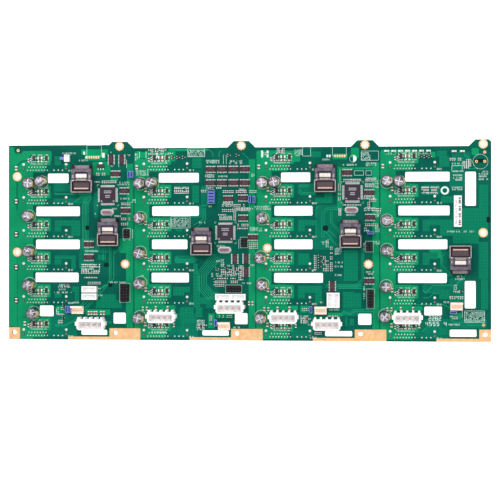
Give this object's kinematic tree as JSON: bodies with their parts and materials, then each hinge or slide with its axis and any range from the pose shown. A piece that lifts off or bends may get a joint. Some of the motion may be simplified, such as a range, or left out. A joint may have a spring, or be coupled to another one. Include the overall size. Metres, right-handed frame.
{
  "type": "drive backplane board",
  "caption": "Green circuit board that joins hot-swap drives to a server: a grid of drive sockets underneath, data ports, power sockets and capacitors on top, slots for air and screw tabs",
  "frame": {"origin": "middle of the board in plan, on the plane of the drive sockets' guide-arm faces, where the board rests", "axes": "+X along the long edge, +Y towards the edge with the four screw tabs, +Z out of the cable side"},
  "size_m": [0.424, 0.1748, 0.0233],
  "materials": {
    "solder_mask_green": "satin",
    "black_moulding": "matte",
    "capacitor_can": "satin",
    "port_sheet": "satin",
    "white_nylon": "satin",
    "cream_nylon": "satin",
    "blue_plastic": "satin",
    "tinned_pin": "satin",
    "black_epoxy": "satin",
    "crystal_can": "satin",
    "white_paper": "matte"
  },
  "bodies": {
    "root": {"circuit_board": "solder_mask_green", "drive_socket_01": "black_moulding", "drive_socket_02": "black_moulding", "drive_socket_03": "black_moulding", "drive_socket_04": "black_moulding", "drive_socket_05": "black_moulding", "drive_socket_06": "black_moulding", "drive_socket_07": "black_moulding", "drive_socket_08": "black_moulding", "drive_socket_09": "black_moulding", "drive_socket_10": "black_moulding", "drive_socket_11": "black_moulding", "drive_socket_12": "black_moulding", "drive_socket_13": "black_moulding", "drive_socket_14": "black_moulding", "drive_socket_15": "black_moulding", "drive_socket_16": "black_moulding", "drive_socket_17": "black_moulding", "drive_socket_18": "black_moulding", "drive_socket_19": "black_moulding", "drive_socket_20": "black_moulding", "drive_socket_21": "black_moulding", "drive_socket_22": "black_moulding", "drive_socket_23": "black_moulding", "drive_socket_24": "black_moulding", "capacitors_column_1": "capacitor_can", "capacitors_column_2": "capacitor_can", "capacitors_column_3": "capacitor_can", "capacitors_column_4": "capacitor_can", "data_port_1": "black_moulding", "data_port_shell_1": "port_sheet", "data_port_2": "black_moulding", "data_port_shell_2": "port_sheet", "data_port_3": "black_moulding", "data_port_shell_3": "port_sheet", "data_port_4": "black_moulding", "data_port_shell_4": "port_sheet", "data_port_5": "black_moulding", "data_port_shell_5": "port_sheet", "data_port_6": "black_moulding", "data_port_shell_6": "port_sheet", "power_socket_1": "white_nylon", "power_socket_2": "white_nylon", "power_socket_3": "white_nylon", "power_socket_4": "white_nylon", "power_socket_5": "white_nylon", "power_socket_6": "white_nylon", "power_pins": "tinned_pin", "controller_chip_1": "black_epoxy", "controller_chip_2": "black_epoxy", "controller_chip_3": "black_epoxy", "crystals": "crystal_can", "pin_headers": "black_moulding", "jumper_caps": "blue_plastic", "sideband_headers": "white_nylon", "fan_headers": "cream_nylon", "logic_chips": "black_epoxy", "paper_label": "white_paper"}
  },
  "joints": []
}
